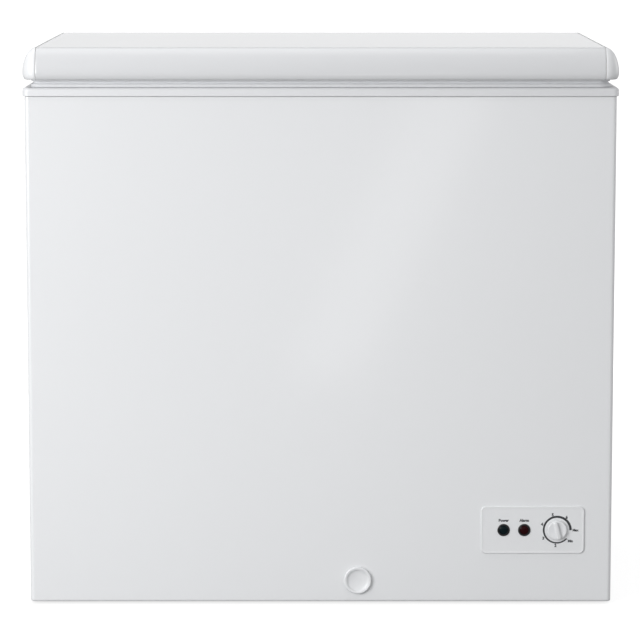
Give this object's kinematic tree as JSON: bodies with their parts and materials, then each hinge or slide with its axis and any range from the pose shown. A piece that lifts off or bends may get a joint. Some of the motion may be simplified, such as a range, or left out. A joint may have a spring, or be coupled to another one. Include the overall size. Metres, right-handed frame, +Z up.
{
  "type": "chest freezer",
  "caption": "Upright box-shaped chest freezer with a hinged, counterbalanced lid, hanging wire basket, front drain, control panel with dial and lamps, and a rear compressor bay.",
  "frame": {"origin": "on the floor, under the centre of the freezer's overall box", "axes": "+X to the right seen from the front, +Y to the back where the hinges are, +Z up; the control panel faces -Y"},
  "size_m": [0.9, 0.56, 0.856],
  "materials": {
    "white_paint": "gloss baked enamel on steel sheet",
    "white_plastic": "satin moulded",
    "liner": "white lacquered sheet",
    "galvanised": "zinc coated sheet",
    "foam": "cut foam",
    "grey_rubber": "matte",
    "black_rubber": "matte",
    "copper": "drawn tube",
    "black_paint": "satin enamel",
    "black_plastic": "moulded",
    "green_lens": "clear tinted, unlit",
    "red_lens": "clear tinted, unlit",
    "zinc_steel": "bright zinc plate",
    "coated_wire": "white dip coated wire"
  },
  "bodies": {
    "cabinet": {"outer_shell": "white_paint", "back_panel": "white_paint", "base_pan": "galvanised", "compressor_tray": "galvanised", "machine_bay_wall": "galvanised", "foot_front_left": "black_plastic", "foot_rear_left": "black_plastic", "foot_front_right": "black_plastic", "foot_rear_right": "black_plastic", "inner_liner": "liner", "cabinet_foam": "foam", "top_frame": "white_plastic", "evaporator_tube": "copper", "condenser_tube": "zinc_steel", "drain_tube": "white_plastic", "control_panel": "white_plastic", "power_lamp_lens": "green_lens", "alarm_lamp_lens": "red_lens", "lamp_holder": "black_plastic", "thermostat_body": "galvanised", "sensor_tube": "copper", "compressor_lower_shell": "black_paint", "compressor_upper_shell": "black_paint", "compressor_mount_plate": "black_paint", "compressor_grommet_1": "black_rubber", "compressor_grommet_2": "black_rubber", "compressor_grommet_3": "black_rubber", "compressor_grommet_4": "black_rubber", "relay_cover": "black_plastic", "filter_drier": "copper", "capillary_tube": "copper", "suction_line": "copper", "discharge_line": "copper", "compressor_cover": "galvanised", "cable_gland": "black_rubber", "side_grille": "white_plastic", "hinge_base_left": "galvanised", "hinge_base_right": "galvanised", "hinge_pin_left": "zinc_steel", "hinge_pin_right": "zinc_steel", "hinge_spring_left": "zinc_steel", "hinge_spring_right": "zinc_steel", "hinge_cover_left": "white_plastic", "hinge_cover_right": "white_plastic"},
    "lid": {"lid_panel": "white_paint", "lid_end_cap_left": "white_plastic", "lid_end_cap_right": "white_plastic", "lid_liner": "white_plastic", "lid_foam": "foam", "lid_gasket": "grey_rubber", "hinge_arm_left": "galvanised", "hinge_arm_right": "galvanised"},
    "plunger_left": {"hinge_plunger_left": "black_plastic"},
    "plunger_right": {"hinge_plunger_right": "black_plastic"},
    "dial": {"thermostat_knob": "white_plastic", "thermostat_shaft": "zinc_steel"},
    "drain_cap": {"drain_cap": "white_plastic"},
    "drain_plug": {"drain_plug": "grey_rubber"},
    "basket": {"basket_frame": "coated_wire", "basket_cage": "coated_wire"}
  },
  "joints": [
    {"name": "lid_hinge", "type": "hinge", "parent": "cabinet", "child": "lid", "pos_m": [0, 0.268, 0.802], "axis": [-1, 0, 0], "range_deg": [0, 80]},
    {"name": "plunger_left_slide", "type": "slide", "parent": "cabinet", "child": "plunger_left", "axis": [0, 0, 1], "range_m": [0, 0.0049], "deforming": ["hinge_spring_left"]},
    {"name": "plunger_right_slide", "type": "slide", "parent": "cabinet", "child": "plunger_right", "axis": [0, 0, 1], "range_m": [0, 0.0049], "deforming": ["hinge_spring_right"]},
    {"name": "dial_turn", "type": "hinge", "parent": "cabinet", "child": "dial", "pos_m": [0.363, -0.27, 0.117], "axis": [0, -1, 0], "range_deg": [-106, 212]},
    {"name": "drain_cap_pull", "type": "slide", "parent": "cabinet", "child": "drain_cap", "axis": [0, -1, 0], "range_m": [0, 0.03]},
    {"name": "drain_plug_lift", "type": "slide", "parent": "cabinet", "child": "drain_plug", "axis": [0, 0, 1], "range_m": [0, 0.05]},
    {"name": "basket_slide", "type": "slide", "parent": "cabinet", "child": "basket", "axis": [1, 0, 0], "range_m": [-0.53, 0]}
  ],
  "couplings": [
    {"joint": "plunger_left_slide", "follows": "lid_hinge", "m_per_rad": 0.0035},
    {"joint": "plunger_right_slide", "follows": "lid_hinge", "m_per_rad": 0.0035}
  ]
}
